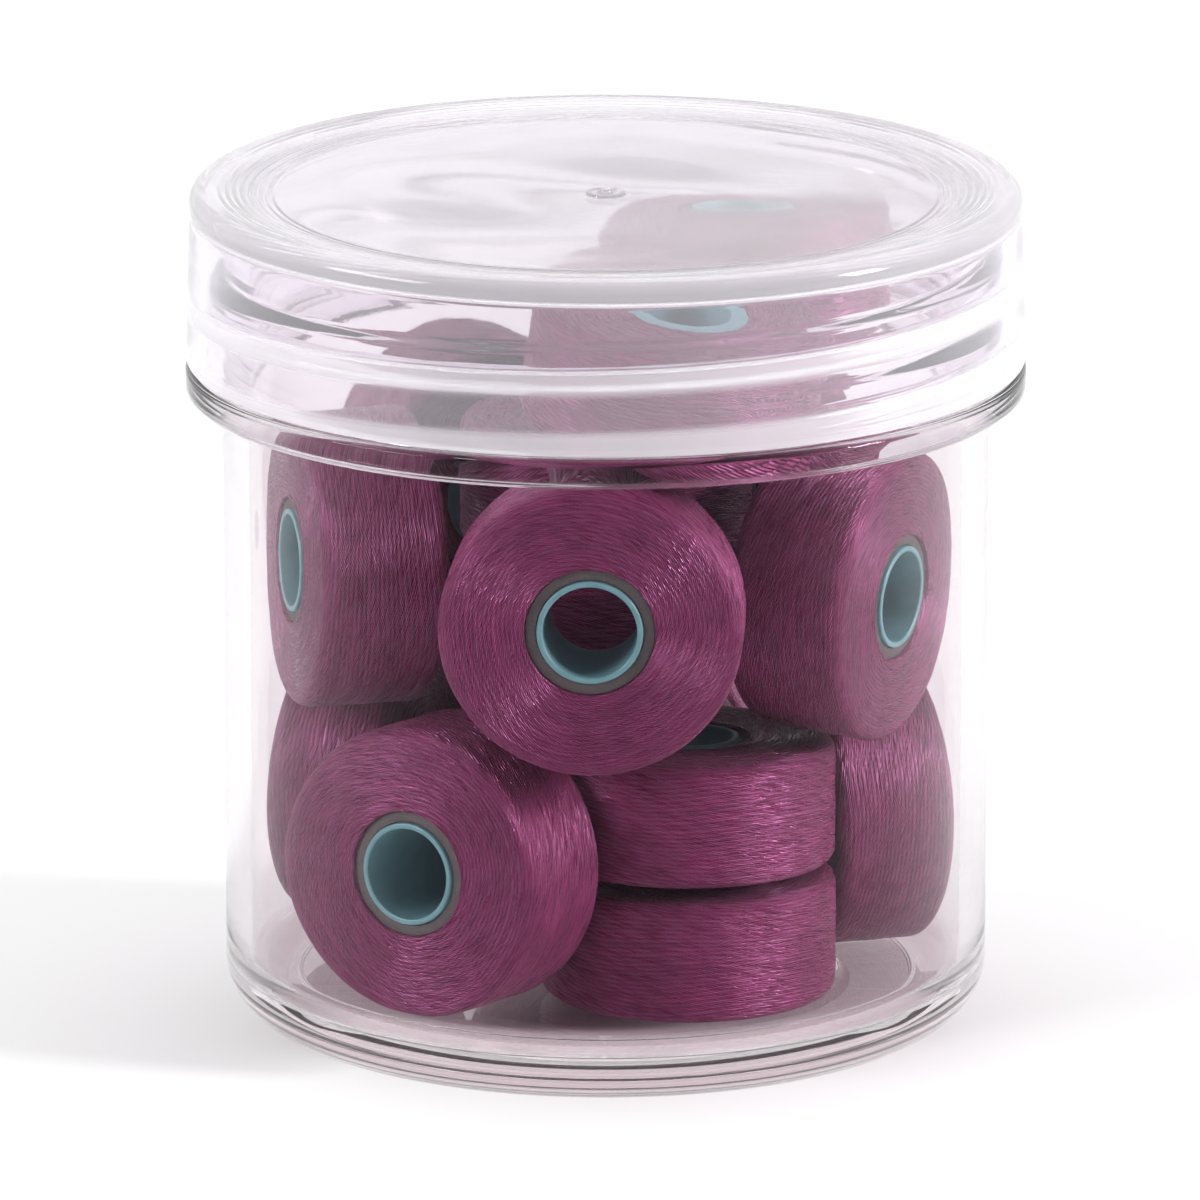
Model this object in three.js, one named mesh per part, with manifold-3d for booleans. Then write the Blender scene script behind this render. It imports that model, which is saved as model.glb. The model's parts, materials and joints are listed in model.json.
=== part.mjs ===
// Screw-lid jar of prewound magnetic bobbins. Millimetres, +Z up, origin at the centre of the underside.
import * as THREE from 'three';
import { mergeVertices } from 'three/addons/utils/BufferGeometryUtils.js';
import Module from 'manifold-3d';

// Jar
const JAR_R = 26.4;
const JAR_WALL = 1.8;
const JAR_RIM_Z = 56.5;
const JAR_CORNER_R = 4;
const FLOOR_Z = 3;
const FLOOR_CORNER_R = 2.6;
const FOOT_INNER_R = 17;
const FOOT_RECESS = 0.7;
const COLLAR_R = 28.95;
const COLLAR_Z = [44.2, 46.2];
const RIM_ROUND = 0.4;

// Lid
const LID_TOP_Z = 58.5;
const LID_BOTTOM_Z = 46.55;
const LID_TOP_R = 28.65;
const LID_BOTTOM_R = 28.9;
const LID_EDGE_R = 1.1;
const LID_BORE_R = 27.75;
const LID_PLATE_Z = 56.8;
const LID_DISH_R = 22.7;
const LID_DISH_Z = 57.9;
const LID_RIM_INNER_R = 27;
const GATE_R = 1.4;
const GATE_H = 0.25;
const GATE_GAP = 0.3;

// Screw thread, right-handed, one start; the lid's bead runs just under the jar's bead
const PITCH = 4.2333;
const JAR_BEAD = {
  rootR: 26, crestR: 27.4, endR: 26.4, rootHalf: 1.1, crestHalf: 0.45, turns: 1.4, startZ: 48.9,
};
const LID_BEAD = {
  rootR: 27.85, crestR: 26.75, endR: 27.65, rootHalf: 0.8, crestHalf: 0.3, turns: 1.25, startZ: 47.5,
};
const JAR_BEAD_START = THREE.MathUtils.degToRad(-70);
const THREAD_RUNOUT = 0.12;

// Bobbin: wound thread on a plastic core with a magnet ring let into one end
const BOBBIN_R = 10.15;
const BOBBIN_W = 8.6;
const BOBBIN_ROUND = 1;
const CORE_R = 4.35;
const CORE_NECK_R = 3.5;
const CORE_BORE_R = 3.2;
const MAGNET_BORE_R = 3.8;
const MAGNET_W = 1.6;
const MAGNET_RECESS = 0.2;
const FIT_GAP = 0.3;

const JAR_SEGMENTS = 48;
const WINDING_SEGMENTS = 20;
const CORE_SEGMENTS = 16;

// Where each bobbin lies: [angle about the jar from the front towards +X, distance from the jar's axis,
// height of its centre, compass direction and elevation that its magnet end faces], degrees and mm.
const BOBBINS = [
  // bottom layer
  [-38.2, 17.6, 14.2, -34.3, 2.5],
  [38.6, 9, 7.7, 0, 90],
  [39.3, 8.8, 17, 180, 88],
  [106.9, 18.1, 13.6, 107, 0],
  [-110.2, 17.7, 15.3, -107.9, 2.5],
  [178.1, 18.1, 13.5, 178.2, 0],
  [179, 8.1, 13.5, 0, 0],
  // middle layer
  [-2.7, 18.1, 32.6, -2.9, 2],
  [-74.2, 18, 33.5, -73.3, 1.1],
  [69.3, 17.3, 31.7, 63, -2.8],
  [140.9, 17, 33.5, 134, -1.8],
  [-147, 18, 34.2, -147, 1],
  [0, 0, 28.5, 0, -90],
  [180, 1, 37.7, 180, 88],
  // top layer
  [22.9, 12, 48.3, -125, -80],
  [134.5, 14.1, 49.2, -130, 80.5],
];

const FINISH = {
  jar: new THREE.MeshStandardMaterial({ color: 0xeef0f4, roughness: 0.05, metalness: 0 }),
  lid: new THREE.MeshStandardMaterial({ color: 0xe9e6ea, roughness: 0.25, metalness: 0 }),
  thread: new THREE.MeshStandardMaterial({ color: 0x84365f, roughness: 0.55, metalness: 0 }),
  core: new THREE.MeshStandardMaterial({ color: 0x6fa3ab, roughness: 0.35, metalness: 0 }),
  magnet: new THREE.MeshStandardMaterial({ color: 0x4a4045, roughness: 0.6, metalness: 0.1 }),
};

const wasm = await Module();
wasm.setup();

// Points of a round stretch in a profile's plane, angles in degrees
function arc(cx, cy, radius, from, to, steps) {
  const points = [];
  for (let i = 0; i <= steps; i += 1) {
    const a = THREE.MathUtils.degToRad(from + ((to - from) * i) / steps);
    points.push([cx + radius * Math.cos(a), cy + radius * Math.sin(a)]);
  }
  return points;
}

// A profile of [radius, height] points turned about Z
function turned(profile, segments) {
  const points = profile.map(([r, z]) => new THREE.Vector2(r, z));
  const geometry = new THREE.LatheGeometry(points, segments);
  geometry.rotateX(Math.PI / 2);
  return geometry;
}

function toSolid(geometry) {
  const bare = geometry.clone();
  bare.deleteAttribute('normal');
  bare.deleteAttribute('uv');
  const merged = mergeVertices(bare, 1e-4);
  const position = merged.attributes.position.array;
  return new wasm.Manifold(new wasm.Mesh({
    numProp: 3,
    vertProperties: new Float32Array(position),
    triVerts: new Uint32Array(merged.index.array),
  }));
}

function toGeometry(solid) {
  const mesh = solid.getMesh();
  const geometry = new THREE.BufferGeometry();
  geometry.setAttribute('position', new THREE.BufferAttribute(new Float32Array(mesh.vertProperties), 3));
  geometry.setIndex(new THREE.BufferAttribute(new Uint32Array(mesh.triVerts), 1));
  geometry.computeVertexNormals();
  return geometry;
}

// A screw bead's path, with its section kept upright; both ends sink into the wall that carries it
class BeadPath extends THREE.Curve {
  constructor(bead, startAngle) {
    super();
    this.bead = bead;
    this.startAngle = startAngle;
  }

  sink(t) {
    const end = THREAD_RUNOUT / this.bead.turns;
    const run = Math.min(t, 1 - t) / end;
    return run < 1 ? (1 - run) * (this.bead.endR - this.bead.crestR) : 0;
  }

  angle(t) {
    return this.startAngle + t * this.bead.turns * Math.PI * 2;
  }

  getPoint(t, target = new THREE.Vector3()) {
    const a = this.angle(t);
    const r = this.bead.crestR + this.sink(t);
    const z = this.bead.startZ + t * this.bead.turns * PITCH;
    return target.set(r * Math.cos(a), r * Math.sin(a), z);
  }

  getPointAt(t, target) {
    return this.getPoint(t, target);
  }

  computeFrenetFrames(steps) {
    const frames = { tangents: [], normals: [], binormals: [] };
    for (let i = 0; i <= steps; i += 1) {
      const a = this.angle(i / steps);
      frames.normals.push(new THREE.Vector3(Math.cos(a), Math.sin(a), 0));
      frames.binormals.push(new THREE.Vector3(0, 0, -1));
      frames.tangents.push(new THREE.Vector3(-Math.sin(a), Math.cos(a), 0));
    }
    return frames;
  }
}

function beadSolid(bead, startAngle) {
  const depth = bead.rootR - bead.crestR;
  const section = new THREE.Shape([
    new THREE.Vector2(0, -bead.crestHalf),
    new THREE.Vector2(0, bead.crestHalf),
    new THREE.Vector2(depth, bead.rootHalf),
    new THREE.Vector2(depth, -bead.rootHalf),
  ]);
  const geometry = new THREE.ExtrudeGeometry(section, {
    steps: Math.round(bead.turns * JAR_SEGMENTS),
    extrudePath: new BeadPath(bead, startAngle),
    bevelEnabled: false,
  });
  return toSolid(geometry);
}

function jarGeometry() {
  const innerR = JAR_R - JAR_WALL;
  const body = turned([
    [0, FOOT_RECESS],
    [FOOT_INNER_R - FOOT_RECESS, FOOT_RECESS],
    [FOOT_INNER_R, 0],
    ...arc(JAR_R - JAR_CORNER_R, JAR_CORNER_R, JAR_CORNER_R, -90, 0, 4),
    [JAR_R, COLLAR_Z[0]],
    [COLLAR_R, COLLAR_Z[0]],
    [COLLAR_R, COLLAR_Z[1]],
    [JAR_R, COLLAR_Z[1]],
    ...arc(JAR_R - RIM_ROUND, JAR_RIM_Z - RIM_ROUND, RIM_ROUND, 0, 90, 1),
    ...arc(innerR + RIM_ROUND, JAR_RIM_Z - RIM_ROUND, RIM_ROUND, 90, 180, 1),
    ...arc(innerR - FLOOR_CORNER_R, FLOOR_Z + FLOOR_CORNER_R, FLOOR_CORNER_R, 0, -90, 3),
    [0, FLOOR_Z],
  ], JAR_SEGMENTS);
  return toGeometry(toSolid(body).add(beadSolid(JAR_BEAD, JAR_BEAD_START)));
}

function lidGeometry() {
  const body = turned([
    [0, LID_PLATE_Z],
    [LID_BORE_R, LID_PLATE_Z],
    [LID_BORE_R, LID_BOTTOM_Z],
    [LID_BOTTOM_R, LID_BOTTOM_Z],
    ...arc(LID_TOP_R - LID_EDGE_R, LID_TOP_Z - LID_EDGE_R, LID_EDGE_R, 0, 90, 4),
    [LID_RIM_INNER_R, LID_TOP_Z],
    [LID_DISH_R, LID_DISH_Z],
    [0, LID_DISH_Z],
  ], JAR_SEGMENTS);
  return toGeometry(toSolid(body).add(beadSolid(LID_BEAD, JAR_BEAD_START)));
}

// Flat-ended ring with rounded outer edges
function windingGeometry() {
  const boreR = CORE_R + FIT_GAP;
  const half = BOBBIN_W / 2;
  const edgeR = BOBBIN_R - BOBBIN_ROUND;
  return turned([
    [boreR, -half],
    ...arc(edgeR, BOBBIN_ROUND - half, BOBBIN_ROUND, -90, 0, 2),
    ...arc(edgeR, half - BOBBIN_ROUND, BOBBIN_ROUND, 0, 90, 2),
    [boreR, half],
    [boreR, -half],
  ], WINDING_SEGMENTS);
}

// Spool core, stepped down at the magnet end
function coreGeometry() {
  const half = BOBBIN_W / 2;
  const shoulder = half - MAGNET_RECESS - MAGNET_W - FIT_GAP;
  return turned([
    [CORE_BORE_R, -half],
    [CORE_R, -half],
    [CORE_R, shoulder],
    [CORE_NECK_R, shoulder],
    [CORE_NECK_R, half],
    [CORE_BORE_R, half],
    [CORE_BORE_R, -half],
  ], CORE_SEGMENTS);
}

function magnetGeometry() {
  const top = BOBBIN_W / 2 - MAGNET_RECESS;
  return turned([
    [MAGNET_BORE_R, top - MAGNET_W],
    [CORE_R, top - MAGNET_W],
    [CORE_R, top],
    [MAGNET_BORE_R, top],
    [MAGNET_BORE_R, top - MAGNET_W],
  ], CORE_SEGMENTS);
}

function named(name, geometry, material) {
  const mesh = new THREE.Mesh(geometry, material);
  mesh.name = name;
  return mesh;
}

// A compass direction and elevation as a unit vector; 0 degrees faces the front, -Y
function facing(compass, elevation) {
  const a = THREE.MathUtils.degToRad(compass);
  const e = THREE.MathUtils.degToRad(elevation);
  return new THREE.Vector3(Math.sin(a) * Math.cos(e), -Math.cos(a) * Math.cos(e), Math.sin(e));
}

function bobbin(number, [angle, distance, height, compass, elevation]) {
  const group = new THREE.Group();
  const label = `bobbin_${String(number).padStart(2, '0')}`;
  group.add(named(`${label}_thread`, windingGeometry(), FINISH.thread));
  group.add(named(`${label}_core`, coreGeometry(), FINISH.core));
  group.add(named(`${label}_magnet`, magnetGeometry(), FINISH.magnet));
  group.position.copy(facing(angle, 0).multiplyScalar(distance));
  group.position.z = height;
  group.quaternion.setFromUnitVectors(new THREE.Vector3(0, 0, 1), facing(compass, elevation));
  return group;
}

const bobbinBox = new THREE.Group();
bobbinBox.add(named('jar', jarGeometry(), FINISH.jar));
bobbinBox.add(named('lid', lidGeometry(), FINISH.lid));
const gate = new THREE.CylinderGeometry(GATE_R, GATE_R, GATE_H, CORE_SEGMENTS);
gate.rotateX(Math.PI / 2);
gate.translate(0, 0, LID_DISH_Z + GATE_GAP + GATE_H / 2);
bobbinBox.add(named('lid_gate_mark', gate, FINISH.lid));
BOBBINS.forEach((pose, i) => bobbinBox.add(bobbin(i + 1, pose)));

export default bobbinBox;
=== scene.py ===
import json
import math

import bpy
import numpy as np
from mathutils import Matrix, Vector


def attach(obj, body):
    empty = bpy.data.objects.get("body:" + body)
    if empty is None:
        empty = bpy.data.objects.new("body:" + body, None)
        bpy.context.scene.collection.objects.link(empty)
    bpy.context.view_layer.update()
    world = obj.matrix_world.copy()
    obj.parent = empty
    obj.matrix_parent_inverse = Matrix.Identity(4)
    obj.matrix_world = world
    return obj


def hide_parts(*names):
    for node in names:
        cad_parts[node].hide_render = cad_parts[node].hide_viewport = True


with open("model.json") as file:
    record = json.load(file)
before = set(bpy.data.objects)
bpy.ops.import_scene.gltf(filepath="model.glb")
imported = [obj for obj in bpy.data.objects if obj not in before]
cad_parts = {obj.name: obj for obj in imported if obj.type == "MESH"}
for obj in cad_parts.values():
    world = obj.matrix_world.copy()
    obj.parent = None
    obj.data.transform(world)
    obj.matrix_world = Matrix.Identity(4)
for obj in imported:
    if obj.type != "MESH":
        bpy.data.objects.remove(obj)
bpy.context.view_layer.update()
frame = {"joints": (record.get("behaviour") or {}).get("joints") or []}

MM = 0.001
TAU = 2 * math.pi
SEED = 7

# ---------------------------------------------------------------- sizes, in millimetres

JAR_R = 26.4
JAR_WALL = 1.8
JAR_RIM_Z = 56.5
JAR_CORNER_R = 4.0
FLOOR_Z = 3.0
FLOOR_CORNER_R = 2.6
FOOT_INNER_R = 17.0
FOOT_RECESS = 0.7
FOOT_SLOPE = 3.5
COLLAR_R = 28.95
COLLAR_BOTTOM_Z = 44.2
COLLAR_TOP_Z = 46.2
COLLAR_ROUND = 0.45
COLLAR_GAP = 0.02
COLLAR_EDGE_R = 0.1
JAR_RIM_R = 0.4
FLOOR_RING_R = 0.18      # the fine raised ring round the inner floor
POLE_R = 1.5             # radius of the flat cap that closes a turned plate at its middle
WALL_STEP = 0.16         # height between the rings of points that a screw bead is raised from
ON_WALL = 0.01           # how near its wall's radius a point counts as on the wall

LID_TOP_Z = 58.5
LID_BOTTOM_Z = 46.45
LID_TOP_R = 28.65
LID_BOTTOM_R = 28.9
LID_EDGE_R = 1.1
LID_BORE_R = 27.75
LID_PLATE_Z = 56.8
LID_RIM_INNER_R = 27.0
LID_DISH_R = 22.7
LID_DISH_Z = 57.9
LID_RINGS = 8
LID_RING_DEPTH = 0.05
LID_CORNER_R = 0.4       # inside, between plate and skirt
LID_SKIRT_IN_R = 0.3     # at the skirt's bottom edge, inside and outside
LID_SKIRT_OUT_R = 0.25
PLATE_WAVE = 0.05
GATE_R = 1.4
GATE_SINK = 0.05
GATE_STEP = 0.12
GATE_TIP = 0.1

PITCH = 4.2333
JAR_BEAD = {"height": 1.0, "half": 0.95, "crest": 0.45, "turns": 1.4, "start_z": 48.9}
LID_BEAD = {"height": 1.0, "half": 0.75, "crest": 0.3, "turns": 1.25, "start_z": 47.5}
BEAD_START = math.radians(-70)
BEAD_RUNOUT = 0.12       # in turns
LID_BEAD_END_Z = 53.6

BOBBIN_R = 10.15
BOBBIN_W = 8.6
BOBBIN_ROUND = 1.0
CORE_R = 4.35
WOUND_BORE_R = CORE_R + 0.02
CORE_NECK_R = 3.55
CORE_BORE_R = 3.15
CORE_LIP = 0.12
MAGNET_W = 1.8
MAGNET_RECESS = 0.25
MAGNET_EDGE = 0.08
THREAD_PITCH = 0.3
THREAD_HEIGHT = 0.038
THREAD_SINK = 0.03       # how deep the uneven places of a winding lie
THREAD_TURN_R = 0.2      # how far inside the rim the end faces' spiral of strands starts
TWIST_LENGTH = 0.45
SWAY = 0.9               # how far a strand sways to a side, in strands
SWAYS_A_TURN = 3
SWAY_RISE = 2.5          # height over which the sway moves on by one radian

JAR_SEGMENTS = 256
WINDING_SEGMENTS = 72
CORE_SEGMENTS = 64


# ---------------------------------------------------------------- mesh building

def arc(cx, cz, radius, start, end, steps):
    """Points of a round stretch of a profile, angles in degrees."""
    angles = np.radians(np.linspace(start, end, steps + 1))
    return [(cx + radius * math.cos(a), cz + radius * math.sin(a)) for a in angles]


def straight(start, end, steps):
    """Evenly spaced points of a straight stretch, both ends included."""
    return [tuple(p) for p in np.linspace(start, end, steps + 1)]


def turned_points(profile, segments, shape=None):
    """Rings of points round Z; shape(angle, r, z) may move each ring's radius and height."""
    angle = np.linspace(0, TAU, segments, endpoint=False)[None, :]
    r = np.array([p[0] for p in profile])[:, None] + 0 * angle
    z = np.array([p[1] for p in profile])[:, None] + 0 * angle
    if shape is not None:
        r, z = shape(angle, r, z)
    return np.stack([r * np.cos(angle), r * np.sin(angle), z], axis=-1)


def turned_mesh(name, profile, segments, shape=None, looped=False, place=None):
    """A closed mesh turned about Z, from an open profile with capped ends or from a looped one.

    place is a matrix in metres. The unplaced points are kept as the attribute "local", in metres,
    which the materials read.
    """
    rings = turned_points(profile, segments, shape)
    count = len(profile)
    local = rings.reshape(-1, 3)
    faces = []
    rows = count if looped else count - 1
    for i in range(rows):
        low = i * segments
        high = ((i + 1) % count) * segments
        for j in range(segments):
            k = (j + 1) % segments
            faces.append((low + j, low + k, high + k, high + j))
    if not looped:
        first = [(i + 1) % segments for i in range(segments)][::-1]
        faces.append(tuple(first))
        faces.append(tuple((count - 1) * segments + i for i in range(segments)))
    points = local * MM
    placed = points
    if place is not None:
        placed = points @ np.array(place.to_3x3()).T + np.array(place.translation)
    mesh = bpy.data.meshes.new(name)
    mesh.from_pydata([tuple(p) for p in placed], [], faces)
    mesh.polygons.foreach_set("use_smooth", [True] * len(mesh.polygons))
    attribute = mesh.attributes.new("local", "FLOAT_VECTOR", "POINT")
    attribute.data.foreach_set("vector", points.astype(np.float32).ravel())
    mesh.update()
    piece = bpy.data.objects.new(name, mesh)
    bpy.context.scene.collection.objects.link(piece)
    return piece


def smooth(t):
    """Eases 0..1 with level ends."""
    return t * t * (3 - 2 * t)


def bead_height(bead, angle, z):
    """Height of a screw bead over its wall, at an angle about the jar and a height up it."""
    turn = ((angle - BEAD_START) / TAU) % 1.0
    height = np.zeros(np.broadcast(angle, z).shape)
    for lap in range(int(bead["turns"]) + 1):
        along = turn + lap
        ends = np.minimum(along, bead["turns"] - along) / BEAD_RUNOUT
        fade = np.clip(ends, 0, 1)
        away = np.abs(z - bead["start_z"] - along * PITCH)
        flank = smooth(np.clip((bead["half"] - away) / (bead["half"] - bead["crest"]), 0, 1))
        height = np.maximum(height, bead["height"] * flank * fade)
    return height


# ---------------------------------------------------------------- node helpers

MIX_COLOR_INPUTS = (0, 6, 7)     # the Mix node's factor, A and B sockets for colours
MIX_COLOR_OUTPUT = 2


class Nodes:
    """Short calls for building a material's node tree. Most return the new node's output."""

    def __init__(self, name):
        self.material = bpy.data.materials.new(name)
        self.material.use_nodes = True
        self.tree = self.material.node_tree
        self.shader = self.tree.nodes["Principled BSDF"]

    def node(self, kind, **settings):
        made = self.tree.nodes.new(kind)
        for key, value in settings.items():
            setattr(made, key, value)
        return made

    def link(self, source, target):
        self.tree.links.new(source, target)

    def math(self, operation, a, b=None):
        made = self.node("ShaderNodeMath", operation=operation)
        for socket, value in zip(made.inputs, (a, b)):
            if value is None:
                continue
            if isinstance(value, (int, float)):
                socket.default_value = value
            else:
                self.link(value, socket)
        return made.outputs[0]

    def attribute(self, name):
        return self.node("ShaderNodeAttribute", attribute_name=name).outputs["Vector"]

    def noise(self, scale, detail, vector=None):
        made = self.node("ShaderNodeTexNoise")
        made.inputs["Scale"].default_value = scale
        made.inputs["Detail"].default_value = detail
        if vector is not None:
            self.link(vector, made.inputs["Vector"])
        return made.outputs["Fac"]

    def ramp(self, factor, stops):
        """Colours along the factor, from stops of (position, colour)."""
        made = self.node("ShaderNodeValToRGB")
        elements = made.color_ramp.elements
        while len(elements) < len(stops):
            elements.new(0.5)
        for element, (position, color) in zip(elements, stops):
            element.position = position
            element.color = (*color, 1)
        self.link(factor, made.inputs["Fac"])
        return made.outputs["Color"]

    def spread(self, factor, low, high, start=0.0, end=1.0):
        """Maps start..end of the factor to low..high."""
        made = self.node("ShaderNodeMapRange")
        made.inputs["From Min"].default_value = start
        made.inputs["From Max"].default_value = end
        made.inputs["To Min"].default_value = low
        made.inputs["To Max"].default_value = high
        self.link(factor, made.inputs["Value"])
        return made.outputs["Result"]

    def ease(self, length, start, end):
        """0 to 1 as a length goes from start to end, in millimetres."""
        return self.spread(self.math("DIVIDE", length, MM), 0.0, 1.0, start, end)

    def mix(self, factor, a, b, blend="MIX"):
        made = self.node("ShaderNodeMix", data_type="RGBA", blend_type=blend)
        factor_in, a_in, b_in = (made.inputs[i] for i in MIX_COLOR_INPUTS)
        for socket, value in ((factor_in, factor), (a_in, a), (b_in, b)):
            if isinstance(value, (int, float)):
                socket.default_value = value
            elif isinstance(value, tuple):
                socket.default_value = (*value, 1)
            else:
                self.link(value, socket)
        return made.outputs[MIX_COLOR_OUTPUT]

    def bump(self, height, strength, distance):
        """Drives the shader's normal from a height; the distance is in metres."""
        made = self.node("ShaderNodeBump")
        made.inputs["Strength"].default_value = strength
        made.inputs["Distance"].default_value = distance
        self.link(height, made.inputs["Height"])
        self.link(made.outputs["Normal"], self.shader.inputs["Normal"])

    def set(self, **values):
        """Sets or links the shader's own inputs, named with _ for a space."""
        for key, value in values.items():
            socket = self.shader.inputs[key.replace("_", " ")]
            if hasattr(value, "is_output"):
                self.link(value, socket)
            elif socket.type == "RGBA":
                socket.default_value = (*value, 1)
            else:
                socket.default_value = value


def local_parts(n):
    """A turned piece's own radius, angle and height, as sockets in metres and radians."""
    split = n.node("ShaderNodeSeparateXYZ")
    n.link(n.attribute("local"), split.inputs[0])
    x, y, z = split.outputs
    radius = n.math("SQRT", n.math("ADD", n.math("MULTIPLY", x, x), n.math("MULTIPLY", y, y)))
    return radius, n.math("ARCTAN2", y, x), z


# ---------------------------------------------------------------- materials

PLASTIC_IOR = 1.42


def strand_pattern(n, radius, angle, z):
    """Strand number and height over its edges, as in winding_shape but wandering a little."""
    inward = n.math("MAXIMUM", n.math("SUBTRACT", (BOBBIN_R - THREAD_TURN_R) * MM, radius), 0.0)
    lay = n.math("ADD", z, n.math("MULTIPLY", n.math("SIGN", z), inward))
    laps = n.math("DIVIDE", lay, THREAD_PITCH * MM)
    phase = n.math("SUBTRACT", laps, n.math("DIVIDE", angle, TAU))
    swung = n.math("MULTIPLY", angle, SWAYS_A_TURN)
    sway = n.math("ADD", swung, n.math("DIVIDE", z, SWAY_RISE * MM))
    phase = n.math("ADD", phase, n.math("MULTIPLY", n.math("SINE", sway), SWAY))
    wander = n.noise(260, 2, n.attribute("local"))
    phase = n.math("ADD", phase, n.spread(wander, -0.3, 0.3))
    return phase, n.math("ABSOLUTE", n.math("SINE", n.math("MULTIPLY", phase, math.pi)))


def thread_material():
    """Plum polyester thread: round strands side by side, each twisted, with a silky sparkle. Its
    colour holds painted shade between the strands and painted highlights on the twists, the
    glossiest dashes and the rim.
    """
    n = Nodes("wound_thread")
    band = 4 * THREAD_PITCH * MM
    slant_of_twist = 5 * math.pi
    radius, angle, z = local_parts(n)
    phase, ridge = strand_pattern(n, radius, angle, z)

    # each strand's twist shows as dashes, in whole numbers round the ring so that no seam shows
    ring = n.math("FLOOR", phase)
    shift = n.node("ShaderNodeTexWhiteNoise", noise_dimensions="1D")
    n.link(ring, shift.inputs["W"])
    ring_radius = n.math("MULTIPLY", n.math("ROUND", n.math("DIVIDE", radius, band)), band)
    twists = n.math("ROUND", n.math("MULTIPLY", ring_radius, TAU / (TWIST_LENGTH * MM)))
    along = n.math("MULTIPLY", angle, twists)
    slant = n.math("MULTIPLY", n.math("FRACT", phase), slant_of_twist)
    strand = n.math("ADD", along, slant)
    strand = n.math("ADD", strand, n.math("MULTIPLY", shift.outputs["Value"], TAU))
    dash = n.math("SUBTRACT", 0.5, n.math("MULTIPLY", n.math("COSINE", strand), 0.5))

    # every dash has a gloss of its own, which makes some of them catch the light
    cell = n.node("ShaderNodeCombineXYZ")
    n.link(ring, cell.inputs[0])
    n.link(n.math("FLOOR", n.math("DIVIDE", strand, TAU)), cell.inputs[1])
    gloss_noise = n.node("ShaderNodeTexWhiteNoise", noise_dimensions="3D")
    n.link(cell.outputs[0], gloss_noise.inputs["Vector"])
    gloss = gloss_noise.outputs["Value"]

    fibre = n.noise(2600, 2, n.attribute("local"))
    patch = n.noise(420, 3, n.attribute("local"))
    raised = n.math("MULTIPLY", dash, n.spread(gloss, 0.1, 1.3))
    height = n.math("ADD", n.math("MULTIPLY", ridge, 0.35), raised)
    height = n.math("ADD", height, n.math("MULTIPLY", fibre, 0.4))
    n.bump(height, 1.0, 0.055 * MM)

    # painted shade and painted highlight: each strand is painted darker in the valleys beside it
    # and lighter on the crest of each twist
    strand_painted_light_and_tone = n.math("MULTIPLY", n.spread(ridge, 0.4, 1.0), n.spread(dash, 0.15, 1.0))
    strand_painted_light_and_tone = n.math("MULTIPLY", strand_painted_light_and_tone, n.spread(shift.outputs["Value"], 0.8, 1.1))
    # painted glint: the glossier dashes are also painted lighter
    strand_painted_light_and_tone = n.math("MULTIPLY", strand_painted_light_and_tone, n.spread(gloss, 0.8, 1.25))
    # painted sheen: the rim of the wound ring is painted lighter than its end faces
    rim = n.ease(radius, BOBBIN_R - 1.0, BOBBIN_R - 0.3)
    strand_painted_light_and_tone = n.math("MULTIPLY", strand_painted_light_and_tone, n.spread(rim, 0.93, 1.14))
    # the colours run from near black painted shade through the plum to a lighter painted highlight
    base = n.ramp(strand_painted_light_and_tone, (
        (0.0, (0.012, 0.001, 0.006)),
        (0.5, (0.145, 0.014, 0.061)),
        (1.0, (0.36, 0.052, 0.165))))
    tone = n.ramp(patch, ((0.3, (0.70, 0.66, 0.70)), (0.65, (1.0, 1.0, 1.0))))
    color = n.mix(1.0, base, tone, "MULTIPLY")
    n.set(Base_Color=color, Roughness=n.spread(gloss, 0.40, 0.08, 0.65, 0.95))
    n.set(Specular_IOR_Level=0.9, Specular_Tint=(1.0, 0.36, 0.78))
    n.set(Sheen_Weight=0.08, Sheen_Roughness=0.4, Sheen_Tint=(0.8, 0.4, 0.62))
    return n.material


def core_material():
    """Satin teal moulded plastic, a little uneven."""
    n = Nodes("teal_plastic")
    mottle = n.noise(900, 3, n.attribute("local"))
    color = n.ramp(mottle, ((0.35, (0.105, 0.235, 0.265)), (0.65, (0.13, 0.275, 0.305))))
    n.bump(n.noise(5000, 2, n.attribute("local")), 0.12, 0.03 * MM)
    n.set(Base_Color=color, Roughness=n.spread(mottle, 0.28, 0.42))
    n.set(Specular_IOR_Level=0.5)
    return n.material


def magnet_material():
    """Dark bonded magnet, with a faint grain."""
    n = Nodes("bonded_magnet")
    grain = n.noise(7000, 4, n.attribute("local"))
    color = n.ramp(grain, ((0.3, (0.050, 0.040, 0.042)), (0.7, (0.105, 0.088, 0.088))))
    n.bump(grain, 0.35, 0.04 * MM)
    n.set(Base_Color=color, Roughness=n.spread(grain, 0.5, 0.72), Specular_IOR_Level=0.45)
    return n.material


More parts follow.
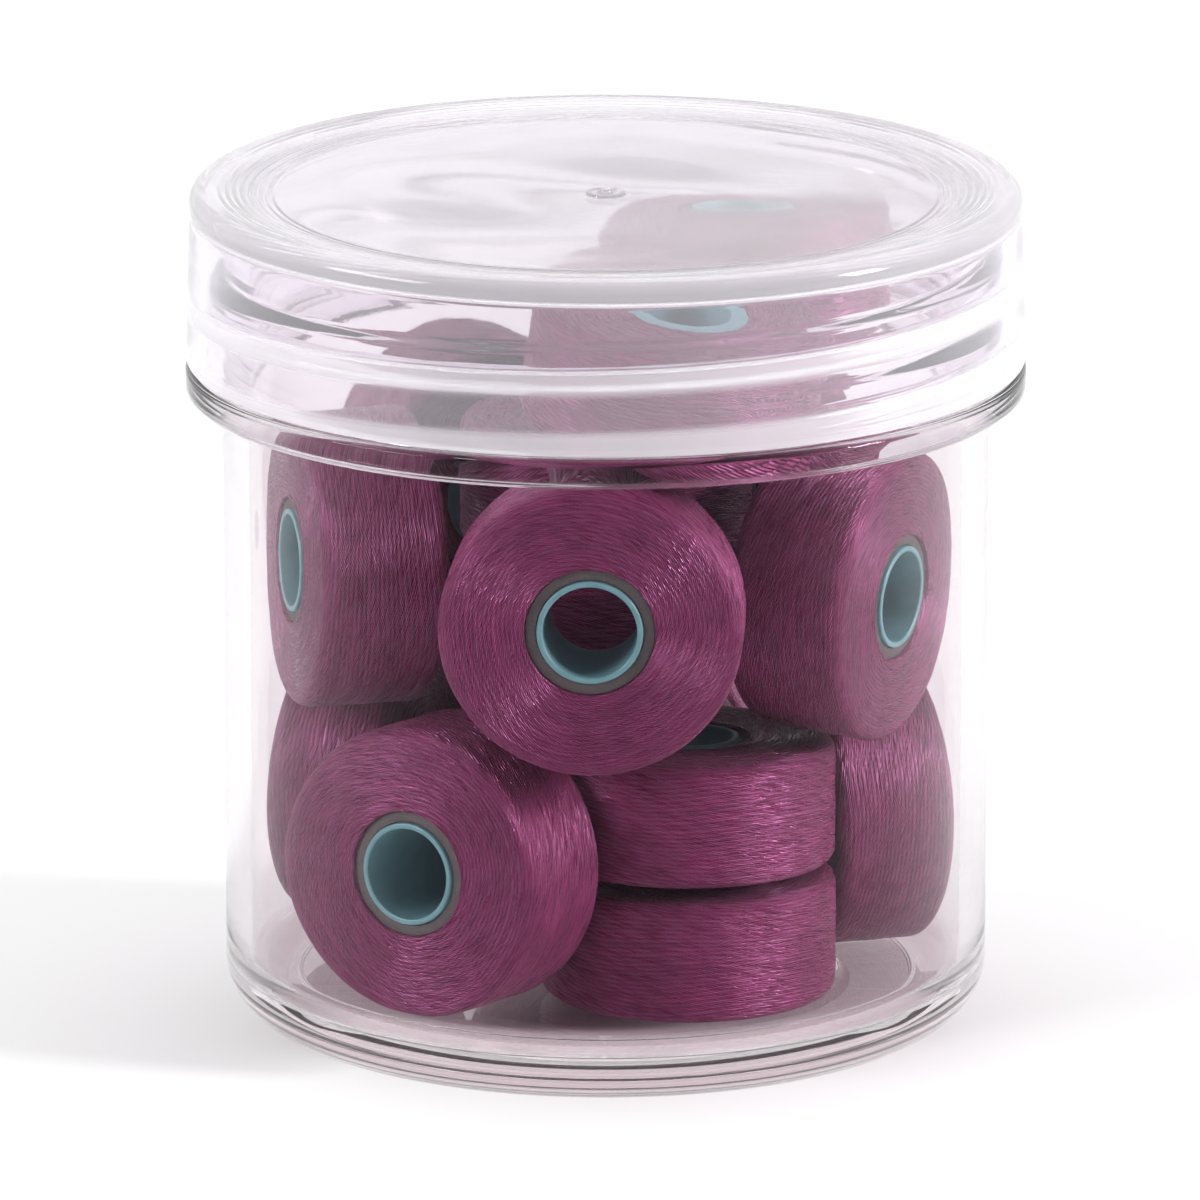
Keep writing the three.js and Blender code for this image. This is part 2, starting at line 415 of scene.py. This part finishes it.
def jar_material():
    """Clear polished polystyrene, with faint mould flow and a trace of lilac.

    The thick foot is painted a darker mauve: painted shade for the shade seen through the base. It
    and the collar's lower corner have a coat, for their bright lines.
    """
    n = Nodes("clear_polystyrene")
    flow = n.noise(90, 3, n.attribute("local"))
    color = n.ramp(flow, ((0.3, (0.865, 0.825, 0.85)), (0.7, (0.89, 0.855, 0.88))))
    n.bump(flow, 0.05, 0.2 * MM)
    radius, _, z = local_parts(n)
    outside = n.ease(radius, JAR_R + 1.0, JAR_R + 2.0)
    collar = n.math("MULTIPLY", outside, n.ease(z, COLLAR_TOP_Z + 0.3, COLLAR_TOP_Z))
    foot = n.ease(z, FLOOR_Z + 1.2, FLOOR_Z - 0.8)
    corner = n.ease(z, COLLAR_BOTTOM_Z + 0.8, COLLAR_BOTTOM_Z + 0.4)
    shine = n.math("MULTIPLY", collar, n.spread(corner, 0.1, 1.0))
    # painted shade: the foot's colour is mixed towards a darker mauve
    n.set(Base_Color=n.mix(foot, color, (0.62, 0.50, 0.53)), Roughness=n.spread(flow, 0.0, 0.03))
    n.set(Transmission_Weight=n.spread(foot, 1.0, 0.93), IOR=PLASTIC_IOR)
    n.set(Specular_Tint=(0.12, 0.11, 0.12))
    n.set(Coat_Weight=n.math("MAXIMUM", shine, foot), Coat_Roughness=0.02)
    return n.material


def lid_material():
    """Milky moulded polypropylene, whiter where it is thick: rim, bottom edge and screw bead."""
    n = Nodes("milky_polypropylene")
    radius, angle, z = local_parts(n)
    rim = n.math("MULTIPLY", n.ease(radius, LID_DISH_R - 1.0, LID_RIM_INNER_R + 0.5), 0.6)
    rim = n.math("MULTIPLY", rim, n.ease(z, LID_PLATE_Z - 0.4, LID_PLATE_Z + 0.4))
    edge = n.ease(z, LID_BOTTOM_Z + 0.9, LID_BOTTOM_Z + 0.5)
    turn = n.math("FRACT", n.math("DIVIDE", n.math("SUBTRACT", angle, BEAD_START), TAU))
    climb = n.math("DIVIDE", n.math("SUBTRACT", z, LID_BEAD["start_z"] * MM), PITCH * MM)
    lap = n.math("FRACT", n.math("ADD", n.math("SUBTRACT", climb, turn), 0.5))
    away = n.math("ABSOLUTE", n.math("SUBTRACT", lap, 0.5))
    bead = n.spread(away, 1.0, 0.0, 0.12, 0.24)
    bead = n.math("MULTIPLY", bead, n.ease(z, LID_BEAD_END_Z + 0.8, LID_BEAD_END_Z))
    milk = n.math("MAXIMUM", n.math("MULTIPLY", bead, 0.9), n.math("MAXIMUM", rim, edge))
    cloud = n.noise(140, 4, n.attribute("local"))
    grain = n.noise(3500, 2, n.attribute("local"))
    thin = n.ramp(cloud, ((0.3, (0.925, 0.895, 0.95)), (0.7, (0.955, 0.93, 0.975))))
    thick = n.ramp(cloud, ((0.3, (0.76, 0.73, 0.77)), (0.7, (0.80, 0.77, 0.805))))
    color = n.mix(milk, thin, thick)
    n.bump(n.math("ADD", n.math("MULTIPLY", grain, 0.1), cloud), 0.08, 0.15 * MM)
    rough = n.math("ADD", n.math("MULTIPLY", milk, 0.10), n.spread(grain, 0.02, 0.05))
    clear = n.math("SUBTRACT", 0.90, n.math("MULTIPLY", milk, 0.34))
    n.set(Base_Color=color, Roughness=rough, Transmission_Weight=clear)
    n.set(IOR=PLASTIC_IOR, Specular_Tint=(0.7, 0.69, 0.7))
    return n.material


def floor_material():
    """Pale matt paper."""
    n = Nodes("pale_floor")
    color = n.ramp(n.noise(6, 3), ((0.3, (0.905, 0.905, 0.91)), (0.7, (0.92, 0.92, 0.925))))
    n.set(Base_Color=color, Roughness=0.7, Specular_IOR_Level=0.2)
    return n.material


# ---------------------------------------------------------------- jar and lid

def jar_profile():
    """From the underside's middle out, up the wall, over the rim, down and across the floor."""
    inner = JAR_R - JAR_WALL
    points = [(POLE_R, FOOT_RECESS)]
    for t in np.linspace(0, 1, 13):
        rise = 0.5 + 0.5 * math.cos(math.pi * t)
        points.append((FOOT_INNER_R - FOOT_SLOPE * (1 - t), FOOT_RECESS * rise))
    points += [(FOOT_INNER_R + 0.8, 0), (JAR_R - JAR_CORNER_R - 0.5, 0)]
    points += arc(JAR_R - JAR_CORNER_R, JAR_CORNER_R, JAR_CORNER_R, -90, 0, 28)
    points += straight((JAR_R, JAR_CORNER_R + 1), (JAR_R, COLLAR_TOP_Z - 0.2), 14)
    neck_top = JAR_RIM_Z - JAR_RIM_R
    steps = int((neck_top - COLLAR_TOP_Z) / WALL_STEP)
    points += straight((JAR_R, COLLAR_TOP_Z), (JAR_R, neck_top - WALL_STEP), steps)
    points += arc(JAR_R - JAR_RIM_R, neck_top, JAR_RIM_R, 0, 90, 6)
    points += arc(inner + JAR_RIM_R, neck_top, JAR_RIM_R, 90, 180, 6)
    points += straight((inner, neck_top - 1), (inner, FLOOR_Z + FLOOR_CORNER_R + 1), 16)
    corner = inner - FLOOR_CORNER_R
    points += arc(corner, FLOOR_Z + FLOOR_CORNER_R, FLOOR_CORNER_R, 0, -90, 16)
    ring = corner - 0.7
    points += [(ring + 0.3, FLOOR_Z), *arc(ring, FLOOR_Z, FLOOR_RING_R, 0, 180, 6)]
    points += [(ring - 0.3, FLOOR_Z), (POLE_R, FLOOR_Z)]
    return points


def collar_profile():
    """The collar as a ring of its own, so that light does not run from it down inside the wall."""
    r = COLLAR_ROUND
    edge = COLLAR_EDGE_R
    inner = JAR_R + COLLAR_GAP
    points = arc(inner + edge, COLLAR_BOTTOM_Z + edge, edge, 180, 270, 4)
    points += [(inner + 2 * edge, COLLAR_BOTTOM_Z), (COLLAR_R - r - edge, COLLAR_BOTTOM_Z)]
    points += arc(COLLAR_R - r, COLLAR_BOTTOM_Z + r, r, -90, 0, 8)
    points += arc(COLLAR_R - r, COLLAR_TOP_Z - r, r, 0, 90, 8)
    points += [(COLLAR_R - r - edge, COLLAR_TOP_Z), (inner + 2 * edge, COLLAR_TOP_Z)]
    points += arc(inner + edge, COLLAR_TOP_Z - edge, edge, 90, 180, 4)
    return points


def jar_shape(angle, r, z):
    """Adds the neck's screw bead to the outer wall."""
    neck = (np.abs(r - JAR_R) < ON_WALL) & (z > COLLAR_TOP_Z)
    return r + np.where(neck, bead_height(JAR_BEAD, angle, z), 0), z


def lid_profile():
    """From under the plate's middle out, down inside the skirt, up its outside and over the top."""
    corner = LID_CORNER_R
    points = straight((POLE_R, LID_PLATE_Z), (LID_BORE_R - 0.8, LID_PLATE_Z), 26)
    points += arc(LID_BORE_R - corner, LID_PLATE_Z - corner, corner, 90, 0, 4)
    low = LID_BOTTOM_Z + 0.4
    steps = int((LID_PLATE_Z - 0.6 - low) / WALL_STEP)
    points += straight((LID_BORE_R, LID_PLATE_Z - 0.6), (LID_BORE_R, low), steps)
    inside, outside = LID_SKIRT_IN_R, LID_SKIRT_OUT_R
    points += arc(LID_BORE_R + inside, LID_BOTTOM_Z + inside, inside, 180, 270, 4)
    points += arc(LID_BOTTOM_R - outside, LID_BOTTOM_Z + outside, outside, -90, 0, 4)
    shoulder = LID_TOP_Z - LID_EDGE_R - 0.5
    points += straight((LID_BOTTOM_R, LID_BOTTOM_Z + 1), (LID_TOP_R, shoulder), 6)
    points += arc(LID_TOP_R - LID_EDGE_R, LID_TOP_Z - LID_EDGE_R, LID_EDGE_R, 0, 90, 14)
    for t in np.linspace(0, 1, 12 * LID_RINGS + 1):
        r = LID_RIM_INNER_R + t * (LID_DISH_R - LID_RIM_INNER_R)
        ripple = LID_RING_DEPTH * (1 - math.cos(TAU * t * LID_RINGS)) / 2
        points.append((r, LID_TOP_Z + smooth(t) * (LID_DISH_Z - LID_TOP_Z) - ripple))
    points += straight((LID_DISH_R - 0.5, LID_DISH_Z), (POLE_R, LID_DISH_Z), 22)
    return points


def lid_shape(angle, r, z):
    """Adds the screw bead inside the skirt, and the slight waves of a moulded plate."""
    skirt = (np.abs(r - LID_BORE_R) < ON_WALL) & (z < LID_PLATE_Z)
    x, y = r * np.cos(angle), r * np.sin(angle)
    wave = np.sin(0.22 * x + 0.9) * np.cos(0.19 * y - 0.4)
    wave = wave + 0.35 * np.sin(0.36 * y + 0.17 * x)
    inside = np.clip((LID_DISH_R - 1.5 - r) / 4, 0, 1)
    plate = (z > LID_PLATE_Z - ON_WALL) * inside
    under = z < LID_PLATE_Z + 0.3
    z = z + plate * wave * np.where(under, PLATE_WAVE, -0.4 * PLATE_WAVE)
    return r - np.where(skirt, bead_height(LID_BEAD, angle, z), 0), z


def finish_piece(piece, material, body, slot, *nodes):
    """Gives a piece its material, hides the CAD nodes it stands for and hangs it on its body. The
    slot is not used.
    """
    piece.data.materials.append(material)
    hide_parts(*nodes)
    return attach(piece, body)


def lets_light_in(piece):
    """Clear plastic: lamps and bounced light reach what it holds."""
    piece.visible_shadow = False
    piece.visible_diffuse = False


def make_jar():
    """The moulding and its collar, two pieces on one body."""
    material = jar_material()
    jar = turned_mesh("jar_shell", jar_profile(), JAR_SEGMENTS, jar_shape)
    lets_light_in(jar)
    finish_piece(jar, material, "jar", "jar_clear", "jar")
    collar = turned_mesh("jar_collar", collar_profile(), JAR_SEGMENTS, None, True)
    lets_light_in(collar)
    finish_piece(collar, material, "jar", "jar_clear")


def make_lid():
    """The lid, and the gate mark at its middle, which rides the body that only rises."""
    material = lid_material()
    lid = turned_mesh("lid_shell", lid_profile(), JAR_SEGMENTS, lid_shape)
    lets_light_in(lid)
    finish_piece(lid, material, "lid", "lid_milky", "lid")
    low = LID_DISH_Z - GATE_SINK
    top = LID_DISH_Z + GATE_STEP
    profile = [(0.2, low), (GATE_R, low), *arc(1.28, top - GATE_STEP, GATE_STEP, 0, 90, 4)]
    profile += [(0.75, top), (0.65, top - GATE_TIP)]
    profile += [*arc(0.35, top + GATE_TIP, GATE_TIP, 0, 90, 4), (0.1, top + 2 * GATE_TIP)]
    gate = turned_mesh("lid_gate", profile, CORE_SEGMENTS)
    lets_light_in(gate)
    finish_piece(gate, material, "lid_lift", "lid_milky", "lid_gate_mark")


# ---------------------------------------------------------------- bobbins

def winding_profile():
    """The wound ring's outline, with four points to each strand."""
    step = THREAD_PITCH / 4
    half = BOBBIN_W / 2
    edge = BOBBIN_R - BOBBIN_ROUND
    face = int((edge - CORE_R) / step)
    rim = int((BOBBIN_W - 2 * BOBBIN_ROUND) / step)
    corner = int(math.pi / 2 * BOBBIN_ROUND / step)
    points = straight((WOUND_BORE_R, -half), (edge, -half), face)[:-1]
    points += arc(edge, BOBBIN_ROUND - half, BOBBIN_ROUND, -90, 0, corner)[:-1]
    points += straight((BOBBIN_R, BOBBIN_ROUND - half), (BOBBIN_R, half - BOBBIN_ROUND), rim)[:-1]
    points += arc(edge, half - BOBBIN_ROUND, BOBBIN_ROUND, 0, 90, corner)[:-1]
    points += straight((edge, half), (WOUND_BORE_R, half), face)
    points += [(WOUND_BORE_R, half - 1), (WOUND_BORE_R, 1 - half)]
    return points


def winding_shape(random):
    """Raises each strand over the ring, and makes the ring a little uneven."""
    half = BOBBIN_W / 2
    edge = BOBBIN_R - BOBBIN_ROUND
    waves = [(k, random.uniform(0, TAU), random.uniform(0.2, 1) / k) for k in (1, 2, 3, 5)]
    drift = random.uniform(0, TAU)

    def shape(angle, r, z):
        out_r = np.clip(r - edge, 0, None) * (np.abs(z) > half - BOBBIN_ROUND)
        out_r = out_r + (r > BOBBIN_R - ON_WALL)
        out_z = (np.abs(z) - half + BOBBIN_ROUND).clip(0, None) * np.sign(z)
        length = np.hypot(out_r, out_z) + 1e-9
        inward = np.clip(BOBBIN_R - THREAD_TURN_R - r, 0, None)
        lay = z + np.sign(z) * inward
        sway = SWAY * np.sin(SWAYS_A_TURN * angle + z / SWAY_RISE)
        phase = lay / THREAD_PITCH - angle / TAU + sway
        ridge = np.abs(np.sin(np.pi * phase))
        uneven = sum(size * np.sin(k * angle + start) for k, start, size in waves)
        slow = np.sin(lay * 1.7 + drift) * 0.5 + uneven * 0.4
        seen = (r > CORE_R + 0.1).astype(float)
        depth = seen * (THREAD_HEIGHT * (1 - ridge) + THREAD_SINK * (1 + slow).clip(0, None))
        return r - out_r / length * depth, z - out_z / length * depth

    return shape


def core_profile():
    """The core, stepped down where it holds the magnet ring, its bore narrowest halfway."""
    half = BOBBIN_W / 2
    shoulder = half - MAGNET_RECESS - MAGNET_W
    lip = CORE_LIP
    points = arc(CORE_BORE_R + lip, -half + lip, lip, 180, 270, 4)
    points += arc(CORE_R - lip, -half + lip, lip, -90, 0, 4)
    points += [(CORE_R, shoulder - 0.02), (CORE_NECK_R, shoulder - 0.02)]
    points += arc(CORE_NECK_R - lip, half - lip, lip, 0, 90, 5)
    points += arc(CORE_BORE_R + lip, half - lip, lip, 90, 180, 5)
    points += [(CORE_BORE_R, half - 1.5), (CORE_BORE_R - 0.05, 0), (CORE_BORE_R, 1.5 - half)]
    return points


def magnet_profile():
    """The magnet ring, a hair clear of the core's neck."""
    top = BOBBIN_W / 2 - MAGNET_RECESS
    low = top - MAGNET_W
    edge = MAGNET_EDGE
    inner, outer = CORE_NECK_R + 0.03, CORE_R - 0.01
    points = [(inner, low), (outer, low)]
    points += arc(outer - edge, top - edge, edge, 0, 90, 3)
    points += arc(inner + edge, top - edge, edge, 90, 180, 3)
    return points


def make_bobbins():
    """Each bobbin's winding, spool and magnet ring, on its joint's axis at a seeded angle."""
    thread, core, magnet = thread_material(), core_material(), magnet_material()
    for joint in frame["joints"]:
        body = joint["child"]
        if not body.startswith("bobbin_"):
            continue
        number = int(body.split("_")[1])
        turn = Vector((0, 0, 1)).rotation_difference(Vector(joint["axis"]))
        place = Matrix.Translation(Vector(joint["pos_m"])) @ turn.to_matrix().to_4x4()
        random = np.random.default_rng(SEED + number)
        place = place @ Matrix.Rotation(random.uniform(0, TAU), 4, "Z")
        wound = turned_mesh(f"{body}_winding", winding_profile(), WINDING_SEGMENTS,
                            winding_shape(random), True, place)
        finish_piece(wound, thread, body, "thread", f"{body}_thread")
        spool = turned_mesh(f"{body}_spool", core_profile(), CORE_SEGMENTS, None, True, place)
        finish_piece(spool, core, body, "core", f"{body}_core")
        ring = turned_mesh(f"{body}_ring", magnet_profile(), CORE_SEGMENTS, None, True, place)
        finish_piece(ring, magnet, body, "magnet", f"{body}_magnet")


# ---------------------------------------------------------------- studio

CAMERA_PLACE = (-0.0004, -0.9654, 0.2855)
CAMERA_TILT = math.radians(75.12)
CAMERA_LENS = 433.3
ROOM_LIGHT = 0.26        # world strength from in front
SWEEP_LIGHT = 0.98       # and from behind
FLOOR_HALF = 3.0
LAMP_AIM = (0, 0, 0.03)


def make_camera():
    """A long lens from in front and a little above, as in the photograph."""
    data = bpy.data.cameras.new("camera")
    data.lens = CAMERA_LENS
    data.sensor_width = 36
    data.clip_start, data.clip_end = 0.01, 50
    camera = bpy.data.objects.new("camera", data)
    camera.location = CAMERA_PLACE
    camera.rotation_euler = (CAMERA_TILT, 0, 0)
    bpy.context.scene.collection.objects.link(camera)
    bpy.context.scene.camera = camera


def softbox(name, place, size, watts):
    """A rectangular lamp aimed at the jar's middle."""
    data = bpy.data.lights.new(name, "AREA")
    data.shape = "RECTANGLE"
    data.size, data.size_y = size
    data.energy = watts
    light = bpy.data.objects.new(name, data)
    light.location = place
    toward = Vector(LAMP_AIM) - Vector(place)
    light.rotation_euler = toward.to_track_quat("-Z", "Y").to_euler()
    bpy.context.scene.collection.objects.link(light)


def make_world():
    """Soft light all round, brighter from the sweep behind than from the room in front."""
    world = bpy.data.worlds.new("studio")
    world.use_nodes = True
    tree = world.node_tree
    place = tree.nodes.new("ShaderNodeTexCoord")
    split = tree.nodes.new("ShaderNodeSeparateXYZ")
    bright = tree.nodes.new("ShaderNodeMapRange")
    bright.inputs["From Min"].default_value = -0.5
    bright.inputs["From Max"].default_value = 0.3
    bright.inputs["To Min"].default_value = ROOM_LIGHT
    bright.inputs["To Max"].default_value = SWEEP_LIGHT
    tree.links.new(place.outputs["Generated"], split.inputs[0])
    tree.links.new(split.outputs["Y"], bright.inputs["Value"])
    tree.links.new(bright.outputs["Result"], tree.nodes["Background"].inputs["Strength"])
    tree.nodes["Background"].inputs["Color"].default_value = (1, 1, 1, 1)
    bpy.context.scene.world = world


def make_studio():
    """World, three lamps and the floor."""
    make_world()
    softbox("left", (-0.75, -0.30, 0.42), (0.45, 0.22), 4.7)
    softbox("right", (0.80, -0.20, 0.34), (0.16, 0.26), 7.0)
    softbox("top", (0.0, 0.15, 1.0), (1.2, 1.2), 1.8)
    side = FLOOR_HALF
    floor = bpy.data.meshes.new("floor")
    corners = [(-side, -side, 0), (side, -side, 0), (side, side, 0), (-side, side, 0)]
    floor.from_pydata(corners, [], [(0, 1, 2, 3)])
    ground = bpy.data.objects.new("floor", floor)
    ground.data.materials.append(floor_material())
    bpy.context.scene.collection.objects.link(ground)
    bpy.context.scene.view_settings.view_transform = "Standard"


make_camera()
make_studio()
make_jar()
make_lid()
make_bobbins()
